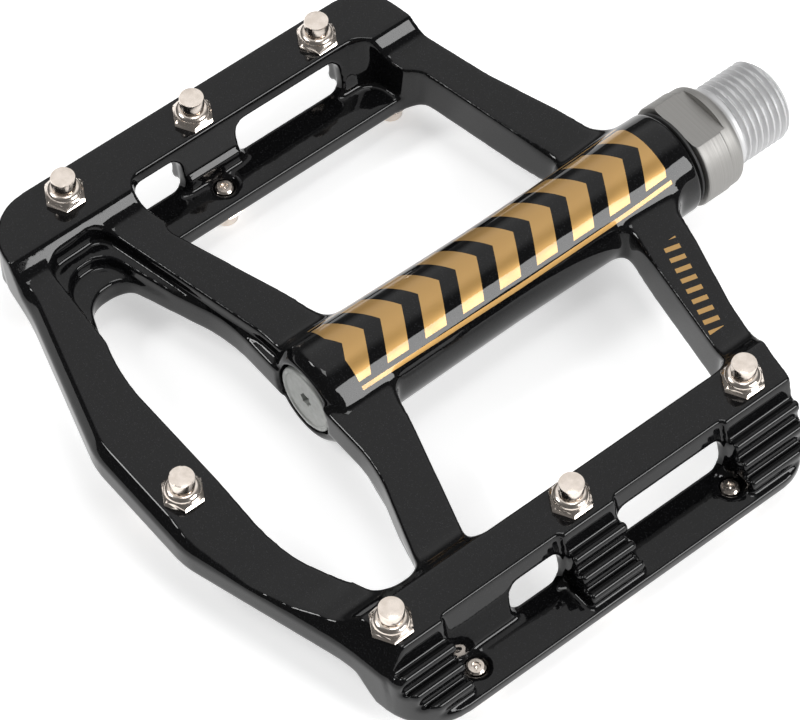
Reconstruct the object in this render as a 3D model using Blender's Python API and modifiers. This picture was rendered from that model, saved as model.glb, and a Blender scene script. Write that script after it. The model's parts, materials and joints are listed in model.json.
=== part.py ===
"""Flat bicycle pedal: cast platform, screw-in traction pins, spindle, three cartridge bearings.

Frame: +X runs along the axle from the outer end to the crank, +Z is up on the face shown
first, and the origin is the middle of the whole pedal, on the axle's axis.  The platform is
unchanged by half a turn about X, so what is on the +Y side of one face is on the -Y side
of the other.  Sizes are written in millimetres and turned into metres by MM.
"""
import math

import bmesh
import bpy
from mathutils import Matrix

MM = 0.001

# ---- driving dimensions -------------------------------------------------------------
OUTER_REACH = 31.6        # outer bar's tip to the end cap's face
BARREL_LENGTH = 73.2
SEAL_STANDOFF = 1.1       # barrel end to spindle collar
COLLAR_LENGTH = 8.0
THREAD_LENGTH = 12.0      # 9/16 inch pedal thread
THREAD_RADIUS = 7.14
THREAD_PITCH = 1.27
COLLAR_RADIUS = 9.1
FLAT_ACROSS = 15.0        # pedal wrench flats
HEX_SOCKET_ACROSS = 8.0
HEX_SOCKET_DEPTH = 9.0

CAGE_HALF_WIDTH = 55.0    # axle to the outer edge of each cage
CAGE_HALF_HEIGHT = 6.5
CAGE_WIDTH = 16.5         # outer edge to the edge beside the openings
CAGE_LENGTH = 76.6        # outer corner to crank-side corner
OUTER_PLATE = 2.3         # thickness of the outer ledge
INNER_PLATE = 3.6         # thickness of the inner ledge
WEB_THICKNESS = 1.7
WEB_INSET = 8.4           # outer edge of the cage to the web
CORNER_RADIUS = 9.5
WINDOW_CHAMFER = 1.6
ARM_HALF_HEIGHT = 4.0
OUTER_BAR_WIDTH = 11.3
BARREL_RADIUS_OUTER = 8.6
BARREL_RADIUS_WAIST = 8.2
BARREL_RADIUS_INNER = 8.9

PIN_HEIGHT = 4.6
PIN_HEAD_RADIUS = 2.0
PIN_HEX_ACROSS = 6.0
PIN_HEX_HEIGHT = 1.7
PIN_STUD_RADIUS = 1.5
PIN_STUD_RECESS = 0.1     # how far a stud stops short of the far side of its plate
BAR_PIN_DEPTH = 3.0
PIN_INSET_OUTER = 4.7     # outer edge of the cage to the outer row of pins
PIN_PITCH_OUTER = 25.0
PIN_INSET_INNER = 12.9    # outer edge of the cage to the inner row of pins
PIN_PITCH_INNER = 34.0
PIN_ROW_START = -7.7      # end cap's face to the first pin of the outer row
PIN_ROW_START_INNER = -17.1
BAR_PIN_X = -26.0         # end cap's face to the pin on the outer bar
BAR_PIN_Y = -4.0

CAP_RADIUS = 5.7
CAP_THICKNESS = 2.6
SMALL_BEARING = (3.0, 6.0, 4.0)    # bore radius, outer radius, width
LARGE_BEARING = (5.0, 7.5, 4.0)
BALL_SPACING = 3.8        # middle to middle, in ball radii
NUT_ACROSS = 8.0
NUT_THICKNESS = 3.2
WASHER_THICKNESS = 0.8
SHAFT_SLIM_RADIUS = 4.4
SHAFT_STUB = 1.0          # shaft past the lock nut
END_CLEARANCE = 0.5       # shaft's end to the end cap
NECK_LENGTH = 0.8         # plain neck between shoulder and thread

FIT = 0.1                 # radial clearance of pieces that fit into each other
GAP = 0.3                 # axial clearance of pieces that meet face to face
RIB_COUNT = 3             # treads of the grip ribs
RIB_STEP = 2.7            # height of one step
RIB_TREAD = 2.5
GROOVE_DEPTH = 2.5        # arm's face to the first ledge of the groove
GROOVE_FLOOR = 0.8        # how far past the middle the groove's floor lies
SCOOP_DEPTH = 1.6

# ---- places worked out from them ----------------------------------------------------
TOTAL_LENGTH = OUTER_REACH + BARREL_LENGTH + SEAL_STANDOFF + COLLAR_LENGTH + THREAD_LENGTH
CAP_X = OUTER_REACH - TOTAL_LENGTH / 2
BARREL_END_X = CAP_X + BARREL_LENGTH
COLLAR_X = BARREL_END_X + SEAL_STANDOFF
SHOULDER_X = COLLAR_X + COLLAR_LENGTH
THREAD_END_X = SHOULDER_X + THREAD_LENGTH
OPENING_Y = CAGE_HALF_WIDTH - CAGE_WIDTH
WEB_IN_Y = CAGE_HALF_WIDTH - WEB_INSET - WEB_THICKNESS
WEB_OUT_Y = CAGE_HALF_WIDTH - WEB_INSET
LEDGE_Z = CAGE_HALF_HEIGHT - OUTER_PLATE
INNER_LEDGE_Z = CAGE_HALF_HEIGHT - INNER_PLATE
CAGE_START_X = CAP_X - 20.8
CAGE_END_X = CAGE_START_X + CAGE_LENGTH
CLEAR = 20.0              # how far cutters run past what they cut

STACK_LENGTH = (2 * SMALL_BEARING[2] + NUT_THICKNESS + WASHER_THICKNESS + 3 * GAP
                + SHAFT_STUB)
BEARING_SHOULDER_X = CAP_X + CAP_THICKNESS + END_CLEARANCE + STACK_LENGTH
LARGE_BEARING_X = BARREL_END_X - 7.4
SEAT_END_X = LARGE_BEARING_X + LARGE_BEARING[2] + GAP
SEGMENTS = 48
INNER_SEGMENTS = 32
BORE_SEGMENTS = 44


# ---- scene and materials ------------------------------------------------------------
for old in list(bpy.data.objects):
    bpy.data.objects.remove(old, do_unlink=True)

parts = bpy.data.collections.new("flat_pedal")
cutters = bpy.data.collections.new("cutters")
bpy.context.scene.collection.children.link(parts)
bpy.context.scene.collection.children.link(cutters)


def material(name, colour, roughness, metallic):
    """Return a Principled material."""
    made = bpy.data.materials.new(name)
    made.use_nodes = True
    shader = made.node_tree.nodes["Principled BSDF"]
    shader.inputs["Base Color"].default_value = (*colour, 1.0)
    shader.inputs["Roughness"].default_value = roughness
    shader.inputs["Metallic"].default_value = metallic
    return made


BLACK_PAINT = material("black_paint", (0.012, 0.012, 0.013), 0.25, 0.0)
SATIN_STEEL = material("satin_steel", (0.62, 0.61, 0.60), 0.32, 1.0)
NICKEL = material("nickel", (0.80, 0.72, 0.64), 0.22, 1.0)
CAP_GREY = material("grey_anodised", (0.36, 0.35, 0.34), 0.38, 1.0)
BEARING_STEEL = material("bearing_steel", (0.70, 0.71, 0.72), 0.18, 1.0)
BRASS_CAGE = material("brass_cage", (0.72, 0.56, 0.25), 0.35, 1.0)
BLACK_RUBBER = material("black_rubber", (0.015, 0.015, 0.015), 0.70, 0.0)
DARK_NYLON = material("dark_nylon", (0.03, 0.03, 0.032), 0.55, 0.0)


# ---- modelling helpers --------------------------------------------------------------
AXIS_TURNS = {"Z": Matrix.Identity(4),
              "X": Matrix(((0, 0, 1, 0), (1, 0, 0, 0), (0, 1, 0, 0), (0, 0, 0, 1))),
              "Y": Matrix.Rotation(math.pi / 2, 4, "X")}


def add_object(name, mesh, finish, collection=None):
    """Link a mesh as a named object and return it."""
    made = bpy.data.objects.new(name, mesh)
    (collection or parts).objects.link(made)
    if finish:
        mesh.materials.append(finish)
    return made


def as_cutter(made):
    """Keep an object out of the model, for Boolean modifiers only."""
    made.hide_render = True
    made.display_type = "WIRE"
    return made


def mesh_from(bm, name):
    """Recalculate normals outward and turn a bmesh into a mesh."""
    bmesh.ops.recalc_face_normals(bm, faces=bm.faces)
    mesh = bpy.data.meshes.new(name)
    bm.to_mesh(mesh)
    bm.free()
    return mesh


def add_prism(bm, outline, low, high, axis="Z"):
    """Extrude a closed outline along Z, along X with (y, z) points or along -Y with (x, z)."""
    curve = bpy.data.curves.new("outline", "CURVE")
    curve.dimensions = "2D"
    curve.fill_mode = "BOTH"
    curve.extrude = (high - low) / 2 * MM
    spline = curve.splines.new("POLY")
    spline.points.add(len(outline) - 1)
    for point, (u, v) in zip(spline.points, outline):
        point.co = (u * MM, v * MM, 0, 1)
    spline.use_cyclic_u = True
    drawn = bpy.data.objects.new("outline", curve)
    bpy.context.scene.collection.objects.link(drawn)
    mesh = bpy.data.meshes.new_from_object(drawn)
    bpy.data.objects.remove(drawn, do_unlink=True)
    stand = Matrix.Translation((0, 0, (low + high) / 2 * MM))
    mesh.transform(AXIS_TURNS[axis] @ stand)
    bm.from_mesh(mesh)
    bmesh.ops.remove_doubles(bm, verts=bm.verts, dist=0.000001)


def prisms(name, items, finish=None, collection=None):
    """One object of several separate prisms: (outline, low, high, axis) each."""
    bm = bmesh.new()
    for outline, low, high, axis in items:
        add_prism(bm, outline, low, high, axis)
    return add_object(name, mesh_from(bm, name), finish, collection)


def rounded(corners, steps=5):
    """Outline from (x, y, radius) corners; a corner with a radius becomes an arc."""
    outline = []
    for index, (x, y, radius) in enumerate(corners):
        before = corners[index - 1]
        after = corners[(index + 1) % len(corners)]
        if radius <= 0:
            outline.append((x, y))
            continue
        ax, ay = before[0] - x, before[1] - y
        bx, by = after[0] - x, after[1] - y
        la, lb = math.hypot(ax, ay), math.hypot(bx, by)
        ax, ay, bx, by = ax / la, ay / la, bx / lb, by / lb
        half = math.acos(max(-1.0, min(1.0, ax * bx + ay * by))) / 2
        reach = min(radius / math.tan(half), 0.49 * la, 0.49 * lb)
        radius = reach * math.tan(half)
        cx, cy = (ax + bx), (ay + by)
        centre_distance = radius / math.sin(half) / math.hypot(cx, cy)
        cx, cy = x + cx * centre_distance, y + cy * centre_distance
        start = math.atan2(y + ay * reach - cy, x + ax * reach - cx)
        end = math.atan2(y + by * reach - cy, x + bx * reach - cx)
        turn = (end - start + math.pi) % (2 * math.pi) - math.pi
        for step in range(steps + 1):
            angle = start + turn * step / steps
            outline.append((cx + radius * math.cos(angle), cy + radius * math.sin(angle)))
    return outline


def half_turned(outline):
    """An outline in (x, y) or (y, z) after half a turn about X, in the same winding."""
    return [(x, -y) for x, y in reversed(outline)]


def turned(name, profile, finish=None, collection=None, segments=SEGMENTS):
    """Revolve (x, radius) points about the axle with a Screw modifier, as a mesh on X."""
    closed = profile[0][1] > 0
    profile_mesh = bpy.data.meshes.new(name + "_profile")
    count = len(profile)
    edges = [(i, i + 1) for i in range(count - 1)] + ([(count - 1, 0)] if closed else [])
    profile_mesh.from_pydata([(r * MM, 0, x * MM) for x, r in profile], edges, [])
    lathe = bpy.data.objects.new(name + "_lathe", profile_mesh)
    bpy.context.scene.collection.objects.link(lathe)
    screw = lathe.modifiers.new("Screw", "SCREW")
    screw.axis = "Z"
    screw.steps = segments
    screw.render_steps = segments
    screw.use_merge_vertices = True
    screw.merge_threshold = 0.00001
    depsgraph = bpy.context.evaluated_depsgraph_get()
    mesh = bpy.data.meshes.new_from_object(lathe.evaluated_get(depsgraph))
    bpy.data.objects.remove(lathe, do_unlink=True)
    bm = bmesh.new()
    bm.from_mesh(mesh)
    bmesh.ops.remove_doubles(bm, verts=bm.verts, dist=0.000001)
    bmesh.ops.rotate(bm, verts=bm.verts, cent=(0, 0, 0), matrix=Matrix.Rotation(math.pi / 2, 3, "Y"))
    made = add_object(name, mesh_from(bm, name), finish, collection)
    made.data.shade_smooth()
    made.data.set_sharp_from_angle(angle=math.radians(35))
    return made


def ring(name, start, end, inner, outer, finish, chamfer=0.0):
    """A turned ring between two places along X, with its outer edges chamfered."""
    profile = [(start, inner), (start, outer - chamfer), (start + chamfer, outer),
               (end - chamfer, outer), (end, outer - chamfer), (end, inner)]
    if chamfer == 0:
        profile = [(start, inner), (start, outer), (end, outer), (end, inner)]
    return turned(name, profile, finish, None, INNER_SEGMENTS)


def boolean(target, cutter, operation):
    """Add an EXACT Boolean modifier."""
    modifier = target.modifiers.new(operation.lower() + "_" + cutter.name, "BOOLEAN")
    modifier.object = cutter
    modifier.operation = operation
    modifier.solver = "EXACT"


def hexagon(across, turn=0.0):
    """Corner points of a hexagon from its size across the flats."""
    radius = across / math.sqrt(3)
    return [(radius * math.cos(math.radians(60 * i + turn)),
             radius * math.sin(math.radians(60 * i + turn))) for i in range(6)]


# ---- platform -----------------------------------------------------------------------
def side_profile():
    """The platform seen along the axle: (y, z) points of the Z-shaped section."""
    ramp_out = WEB_IN_Y - 4.4
    ramp_in = OPENING_Y - 5.3
    top = [(-CAGE_HALF_WIDTH, -LEDGE_Z), (-WEB_OUT_Y, -LEDGE_Z), (-WEB_OUT_Y, CAGE_HALF_HEIGHT),
           (-OPENING_Y, CAGE_HALF_HEIGHT), (-ramp_in, ARM_HALF_HEIGHT),
           (ramp_out, ARM_HALF_HEIGHT), (WEB_IN_Y, CAGE_HALF_HEIGHT),
           (CAGE_HALF_WIDTH, CAGE_HALF_HEIGHT)]
    return top + [(-y, -z) for y, z in top]


def platform_outline():
    """Plan of the whole platform, one half given and the other mirrored."""
    tip = CAP_X - OUTER_REACH
    wide = CAGE_HALF_WIDTH
    half = [(tip, 11.0, 12.0),
            (tip + 8.2, OPENING_Y, 40.0),
            (CAGE_START_X, wide, CORNER_RADIUS),
            (CAGE_END_X, wide, CORNER_RADIUS),
            (CAGE_END_X + 2.0, WEB_IN_Y - 3.0, 8.0),
            (BARREL_END_X - 12.6, 0.53 * wide, 20.0),
            (BARREL_END_X - 6.6, BARREL_RADIUS_INNER + 1.4, 2.0),
            (BARREL_END_X - 3.0, BARREL_RADIUS_INNER - 1.6, 0.0)]
    return rounded(half + [(x, -y, r) for x, y, r in reversed(half)])


def outer_opening():
    """The D-shaped opening between the outer bar and the outer arms."""
    left = CAP_X - OUTER_REACH + OUTER_BAR_WIDTH
    half = [(left, 0.52 * OPENING_Y, 30.0), (CAP_X - 13.9, OPENING_Y - 2.0, 6.0),
            (CAP_X - 7.2, OPENING_Y - 2.0, 3.5), (CAP_X - 0.6, 0.47 * OPENING_Y, 25.0)]
    return rounded(half + [(x, -y, r) for x, y, r in reversed(half)])


def side_opening():
    """The four-sided opening between the barrel and the +Y cage."""
    near = BARREL_RADIUS_WAIST - 0.9
    crank_arm = CAGE_END_X - 3.7
    return rounded([(CAP_X + 1.3, OPENING_Y, 2.0), (CAP_X + 11.3, near, 3.5),
                    (crank_arm + 5.7, near, 2.0), (crank_arm, OPENING_Y, 4.0)])


WINDOWS = ((CAP_X + 1.6, CAP_X + 11.6), (CAP_X + 22.4, CAP_X + 43.4))
RIBS = ((CAGE_START_X - 1.0, CAP_X - 10.6), (CAP_X + 12.0, CAP_X + 22.0),
        (CAP_X + 43.8, CAGE_END_X + 1.0))


def both_faces(outline, low, high, axis):
    """A prism and the same one after half a turn about X."""
    if axis == "X":
        return [(outline, low, high, axis), ([(-y, -z) for y, z in outline], low, high, axis)]
    return [(outline, low, high, axis), (half_turned(outline), -high, -low, axis)]


def build_platform():
    """The one-piece casting, with its openings, bores and tapped holes."""
    tip = CAP_X - OUTER_REACH
    platform = prisms("platform", [(side_profile(), tip - 1, BARREL_END_X, "X")], BLACK_PAINT)

    # grip ribs: treads going down from the inner plate to the outer ledge
    root = -LEDGE_Z - 0.5
    steps = [(-WEB_OUT_Y + 0.3, root)]
    for i in range(RIB_COUNT):
        tread_z = CAGE_HALF_HEIGHT - 0.5 - (i + 1) * RIB_STEP
        near = WEB_OUT_Y - 0.3 if i == 0 else WEB_OUT_Y + i * RIB_TREAD
        steps += [(-near, tread_z), (-WEB_OUT_Y - (i + 1) * RIB_TREAD, tread_z)]
    steps.append((-WEB_OUT_Y - RIB_COUNT * RIB_TREAD, root))
    items = []
    for low, high in RIBS:
        items += both_faces(steps, low, high, "X")
    boolean(platform, as_cutter(prisms("rib_steps", items, None, cutters)), "UNION")

    plan = prisms("plan", [(platform_outline(), -CLEAR, CLEAR, "Z")], None, cutters)
    boolean(platform, as_cutter(plan), "INTERSECT")

    # pockets over the inner ledges, windows through the webs, scoops in the outer bar
    pocket = rounded([(CAP_X + 0.9, WEB_IN_Y, 1.5), (CAP_X + 3.4, OPENING_Y - 6.0, 0.0),
                      (CAGE_END_X - 3.1, OPENING_Y - 6.0, 0.0), (CAGE_END_X - 5.3, WEB_IN_Y, 3.0)])
    items = both_faces(pocket, -INNER_LEDGE_Z, CLEAR, "Z")
    boolean(platform, as_cutter(prisms("pockets", items, None, cutters)), "DIFFERENCE")

    items = []
    for low, high in WINDOWS:
        corners = [(low, -LEDGE_Z, WINDOW_CHAMFER), (high, -LEDGE_Z, WINDOW_CHAMFER),
                   (high, INNER_LEDGE_Z, WINDOW_CHAMFER), (low, INNER_LEDGE_Z, WINDOW_CHAMFER)]
        items += both_faces(rounded(corners, 1), WEB_IN_Y - 1.0, WEB_OUT_Y + 1.0, "Y")
    boolean(platform, as_cutter(prisms("windows", items, None, cutters)), "DIFFERENCE")

    openings = prisms("openings", [(outer_opening(), -CLEAR, CLEAR, "Z"),
                                   (side_opening(), -CLEAR, CLEAR, "Z"),
                                   (half_turned(side_opening()), -CLEAR, CLEAR, "Z")], None, cutters)
    boolean(platform, as_cutter(openings), "DIFFERENCE")

    # a stepped groove beside the outer opening, on one half of each face
    far = WEB_IN_Y - 1.5
    left, right = tip + OUTER_BAR_WIDTH, CAP_X + 0.9
    upper = rounded([(left - 0.6, 6.0, 0.0), (left + 3.5, far, 3.0), (CAP_X - 6.0, far, 3.0),
                     (right, 12.0, 8.0), (right + 0.5, 5.0, 0.0), (CAP_X - 3.0, -2.0, 0.0)])
    lower = rounded([(left - 0.1, 6.0, 0.0), (left + 4.3, far - 2.6, 5.0), (CAP_X - 7.6, far - 2.4, 4.0),
                     (right - 1.8, 16.0, 8.0), (right - 1.5, 7.0, 0.0), (CAP_X - 3.0, -2.0, 0.0)])
    for name, outline, floor in (("groove_upper", upper, ARM_HALF_HEIGHT - GROOVE_DEPTH),
                                 ("groove_lower", lower, -GROOVE_FLOOR)):
        cutter = as_cutter(prisms(name, both_faces(outline, floor, CLEAR, "Z"), None, cutters))
        boolean(platform, cutter, "DIFFERENCE")
    scoop = [(-7.8, ARM_HALF_HEIGHT + 1), (-7.8, ARM_HALF_HEIGHT), (-0.6 * OPENING_Y, ARM_HALF_HEIGHT - SCOOP_DEPTH),
             (-0.86 * OPENING_Y, ARM_HALF_HEIGHT), (-0.86 * OPENING_Y, ARM_HALF_HEIGHT + 1)]
    items = both_faces(scoop, tip - 2, CAP_X - 16.0, "X")
    boolean(platform, as_cutter(prisms("scoops", items, None, cutters)), "DIFFERENCE")

    # barrel round the axle, slightly waisted, with a chamfered mouth at each end
    middle = (CAP_X + BARREL_END_X) / 2
    barrel = [(CAP_X, 0.0), (CAP_X, CAP_RADIUS + 1.3), (CAP_X + 1.6, BARREL_RADIUS_OUTER),
              (CAP_X + 8.0, BARREL_RADIUS_OUTER), (middle, BARREL_RADIUS_WAIST),
              (BARREL_END_X - 14.0, BARREL_RADIUS_WAIST + 0.2), (BARREL_END_X - 4.0, BARREL_RADIUS_INNER),
              (BARREL_END_X - 0.4, BARREL_RADIUS_INNER), (BARREL_END_X, BARREL_RADIUS_INNER - 0.4),
              (BARREL_END_X, 0.0)]
    boolean(platform, as_cutter(turned("barrel", barrel, None, cutters)), "UNION")

    small, large = SMALL_BEARING[1] + FIT, LARGE_BEARING[1] + FIT
    bore = [(CAP_X - 2, 0.0), (CAP_X - 2, small), (BEARING_SHOULDER_X, small),
            (BEARING_SHOULDER_X, SHAFT_SLIM_RADIUS + 0.6), (LARGE_BEARING_X - GAP, SHAFT_SLIM_RADIUS + 0.6),
            (LARGE_BEARING_X - GAP, large), (BARREL_END_X + 2, large), (BARREL_END_X + 2, 0.0)]
    boolean(platform, as_cutter(turned("bore", bore, None, cutters, BORE_SEGMENTS)), "DIFFERENCE")
    return platform


# ---- traction pins ------------------------------------------------------------------
def pin_mesh(name, stud):
    """A pin standing on z = 0: stud below, hexagon, domed collar, neck and flat head."""
    top = PIN_HEX_HEIGHT
    neck = PIN_HEAD_RADIUS - 0.4
    shoulder = PIN_HEIGHT - 1.3
    profile = [(-stud, 0.0), (-stud, PIN_STUD_RADIUS - 0.3),
               (-stud + 0.3, PIN_STUD_RADIUS), (top - 0.2, PIN_STUD_RADIUS),
               (top - 0.2, PIN_HEX_ACROSS / 2 - 0.1), (top + 0.5, PIN_HEAD_RADIUS + 0.4),
               (top + 0.9, PIN_HEAD_RADIUS - 0.1), (top + 0.9, neck), (shoulder, neck),
               (shoulder, PIN_HEAD_RADIUS), (PIN_HEIGHT - 0.2, PIN_HEAD_RADIUS),
               (PIN_HEIGHT, PIN_HEAD_RADIUS - 0.2), (PIN_HEIGHT, 0.0)]
    stem = turned("pin_stem", profile, None, cutters, 18)
    stem.rotation_euler = (0, -math.pi / 2, 0)
    pin = prisms("pin_blank", [(hexagon(PIN_HEX_ACROSS), 0.0, top, "Z")], NICKEL, cutters)
    boolean(pin, as_cutter(stem), "UNION")
    bpy.context.view_layer.update()
    mesh = bpy.data.meshes.new_from_object(pin.evaluated_get(bpy.context.evaluated_depsgraph_get()))
    mesh.name = name
    bpy.data.objects.remove(pin, do_unlink=True)
    bpy.data.objects.remove(stem, do_unlink=True)
    return mesh


def pin_places():
    """(name, x, y, seat height, plate thickness, face) of every pin; face is 1 on top, else -1."""
    places = []
    outer_y = CAGE_HALF_WIDTH - PIN_INSET_OUTER
    inner_y = CAGE_HALF_WIDTH - PIN_INSET_INNER
    for face, label in ((1, "top"), (-1, "bottom")):
        for i in range(3):
            outer_x = CAP_X + PIN_ROW_START + i * PIN_PITCH_OUTER
            inner_x = CAP_X + PIN_ROW_START_INNER + i * PIN_PITCH_INNER
            places += [(f"pin_{label}_outer_{i + 1}", outer_x, outer_y * face,
                        CAGE_HALF_HEIGHT, OUTER_PLATE, face),
                       (f"pin_{label}_inner_{i + 1}", inner_x, -inner_y * face,
                        CAGE_HALF_HEIGHT, INNER_PLATE, face)]
        places.append((f"pin_{label}_bar", CAP_X + BAR_PIN_X, BAR_PIN_Y * face,
                       ARM_HALF_HEIGHT, BAR_PIN_DEPTH, face))
    return places


def build_pins(platform):
    """Every pin as its own object, and its tapped hole in the platform."""
    meshes = {}
    holes = bmesh.new()
    for name, x, y, seat, plate, face in pin_places():
        if plate not in meshes:
            meshes[plate] = pin_mesh(f"traction_pin_{len(meshes) + 1}", plate - PIN_STUD_RECESS)
        pin = bpy.data.objects.new(name, meshes[plate])
        parts.objects.link(pin)
        pin.location = (x * MM, y * MM, (seat + FIT) * MM * face)
        if face < 0:
            pin.rotation_euler = (math.pi, 0, 0)
        depth = plate + 1.0
        middle = Matrix.Translation((x * MM, y * MM, (seat - depth / 2 + 0.5) * MM * face))
        radius = (PIN_STUD_RADIUS + FIT) * MM
        bmesh.ops.create_cone(holes, cap_ends=True, segments=16, radius1=radius,
                              radius2=radius, depth=(depth + 1.0) * MM, matrix=middle)
    cutter = add_object("pin_holes", mesh_from(holes, "pin_holes"), None, cutters)
    boolean(platform, as_cutter(cutter), "DIFFERENCE")


# ---- spindle and what runs on it ----------------------------------------------------
def build_spindle():
    """Stepped steel spindle with pedal thread, wrench flats and a hex socket in its end."""
    small, large = SMALL_BEARING[0] - FIT, LARGE_BEARING[0] - FIT
    root = THREAD_RADIUS - 0.75
    neck = THREAD_RADIUS + 0.06
    shaft_end = BEARING_SHOULDER_X - STACK_LENGTH
    profile = [(shaft_end, 0.0), (shaft_end, small - 0.4), (shaft_end + 0.4, small),
               (BEARING_SHOULDER_X, small), (BEARING_SHOULDER_X, SHAFT_SLIM_RADIUS - 0.3),
               (BEARING_SHOULDER_X + 5.0, SHAFT_SLIM_RADIUS), (LARGE_BEARING_X - 2.0, SHAFT_SLIM_RADIUS),
               (LARGE_BEARING_X - 1.0, large), (SEAT_END_X, large), (SEAT_END_X, large + 1.0),
               (COLLAR_X, large + 1.0), (COLLAR_X, COLLAR_RADIUS - 0.4), (COLLAR_X + 0.4, COLLAR_RADIUS),
               (SHOULDER_X - 0.5, COLLAR_RADIUS), (SHOULDER_X, COLLAR_RADIUS - 0.5),
               (SHOULDER_X, neck), (SHOULDER_X + NECK_LENGTH, neck), (SHOULDER_X + NECK_LENGTH, root)]
    ridges = int((THREAD_LENGTH - 2.2) / THREAD_PITCH)
    for ridge in range(ridges):
        x = SHOULDER_X + NECK_LENGTH + 0.1 + ridge * THREAD_PITCH
        profile += [(x + 0.45 * THREAD_PITCH, THREAD_RADIUS), (x + 0.55 * THREAD_PITCH, THREAD_RADIUS),
                    (x + THREAD_PITCH, root)]
    profile += [(THREAD_END_X - 0.6, root), (THREAD_END_X, root - 0.6), (THREAD_END_X, 0.0)]
    spindle = turned("spindle", profile, SATIN_STEEL)

    flats = []
    for side in (1, -1):
        low, high = sorted((side * FLAT_ACROSS / 2, side * CLEAR))
        square = [(COLLAR_X + 0.8, -CLEAR), (SHOULDER_X - 1.2, -CLEAR),
                  (SHOULDER_X - 1.2, CLEAR), (COLLAR_X + 0.8, CLEAR)]
        flats.append((square, low, high, "Z"))
    boolean(spindle, as_cutter(prisms("wrench_flats", flats, None, cutters)), "DIFFERENCE")
    socket = [(hexagon(HEX_SOCKET_ACROSS), THREAD_END_X - HEX_SOCKET_DEPTH, THREAD_END_X + 2, "X")]
    boolean(spindle, as_cutter(prisms("hex_socket", socket, None, cutters)), "DIFFERENCE")


def build_bearing(name, start, size):
    """A cartridge bearing: two rings, a caged set of balls and two shields."""
    bore, outer, width = size
    wall = 0.2 * (outer - bore)
    inner_top, outer_low = bore + wall, outer - wall
    pitch = (bore + outer) / 2
    ring(name + "_inner_ring", start, start + width, bore, inner_top, BEARING_STEEL, 0.15)
    ring(name + "_outer_ring", start, start + width, outer_low, outer, BEARING_STEEL, 0.15)
    shield = 0.35
    for label, x in (("outer", start + 0.1), ("inner", start + width - 0.1 - shield)):
        ring(f"{name}_{label}_shield", x, x + shield, inner_top + FIT, outer_low - FIT, BLACK_RUBBER)

    middle = start + width / 2
    ball = (outer_low - inner_top) / 2 - FIT
    cage = ring(name + "_ball_cage", middle - 0.7 * ball, middle + 0.7 * ball,
                pitch - 0.4 * ball, pitch + 0.4 * ball, BRASS_CAGE)
    count = int(2 * math.pi * pitch / (BALL_SPACING * ball))
    balls = bmesh.new()
    for i in range(count):
        angle = 2 * math.pi * (i + 0.5) / count
        place = (middle * MM, pitch * math.cos(angle) * MM, pitch * math.sin(angle) * MM)
        bmesh.ops.create_uvsphere(balls, u_segments=8, v_segments=4, radius=ball * MM,
                                  matrix=Matrix.Translation(place))
    cutter = add_object(name + "_balls", mesh_from(balls, name + "_balls"), None, cutters)
    boolean(cage, as_cutter(cutter), "UNION")


def build_inside():
    """Bearings, spacer, washer, lock nut, seal, end cap and its O-ring."""
    width = SMALL_BEARING[2]
    second = BEARING_SHOULDER_X - GAP - width
    first = second - GAP - width
    build_bearing("outer_bearing", first, SMALL_BEARING)
    build_bearing("middle_bearing", second, SMALL_BEARING)
    build_bearing("crank_bearing", LARGE_BEARING_X, LARGE_BEARING)

    bore = SMALL_BEARING[0]
    washer_end = first - GAP
    ring("thrust_washer", washer_end - WASHER_THICKNESS, washer_end, bore, bore + 1.4, SATIN_STEEL)
    nut_end = washer_end - WASHER_THICKNESS - GAP
    nut = prisms("lock_nut", [(hexagon(NUT_ACROSS, 30), nut_end - NUT_THICKNESS, nut_end, "X")], SATIN_STEEL)
    nut_bore = [(nut_end - 9, 0.0), (nut_end - 9, bore), (nut_end + 2, bore), (nut_end + 2, 0.0)]
    boolean(nut, as_cutter(turned("nut_bore", nut_bore, None, cutters)), "DIFFERENCE")

    # the cap is a screwed plug whose skirt holds the outer rings against their shoulder
    groove = CAP_X + 1.1
    skirt_end = first - GAP
    skirt = CAP_RADIUS - 0.8
    profile = [(CAP_X, 0.0), (CAP_X, CAP_RADIUS - 0.3), (CAP_X + 0.3, CAP_RADIUS), (groove, CAP_RADIUS),
               (groove, CAP_RADIUS - 0.9), (groove + 1.1, CAP_RADIUS - 0.9), (groove + 1.1, CAP_RADIUS),
               (skirt_end, CAP_RADIUS), (skirt_end, skirt), (CAP_X + CAP_THICKNESS, skirt),
               (CAP_X + CAP_THICKNESS, 0.0)]
    cap = turned("end_cap", profile, CAP_GREY)
    key = [(hexagon(3.0), CAP_X - 1, CAP_X + 1.8, "X")]
    boolean(cap, as_cutter(prisms("cap_key", key, None, cutters)), "DIFFERENCE")
    ring("cap_o_ring", groove + FIT, groove + 1.1 - FIT, CAP_RADIUS - 0.9 + FIT,
         SMALL_BEARING[1], BLACK_RUBBER, 0.2)

    # sleeve between the two bearing groups, and the lip seal at the crank end
    seal_start = SEAT_END_X + GAP
    seal_bore = LARGE_BEARING[0] + 1.0 + FIT
    lip = [(seal_start, seal_bore), (seal_start, LARGE_BEARING[1]), (BARREL_END_X + GAP, LARGE_BEARING[1]),
           (BARREL_END_X + GAP, BARREL_RADIUS_INNER - 0.6), (COLLAR_X - FIT, COLLAR_RADIUS - 0.9),
           (COLLAR_X - FIT, seal_bore)]
    turned("lip_seal", lip, BLACK_RUBBER)
    ring("spacer_sleeve", BEARING_SHOULDER_X + 0.5 + GAP, LARGE_BEARING_X - 2.6,
         SHAFT_SLIM_RADIUS + FIT, SHAFT_SLIM_RADIUS + FIT + 0.3, DARK_NYLON)


platform = build_platform()
build_pins(platform)
build_spindle()
build_inside()
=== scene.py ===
import json
import math
import bmesh
import bpy
from mathutils import Matrix, Vector


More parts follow.
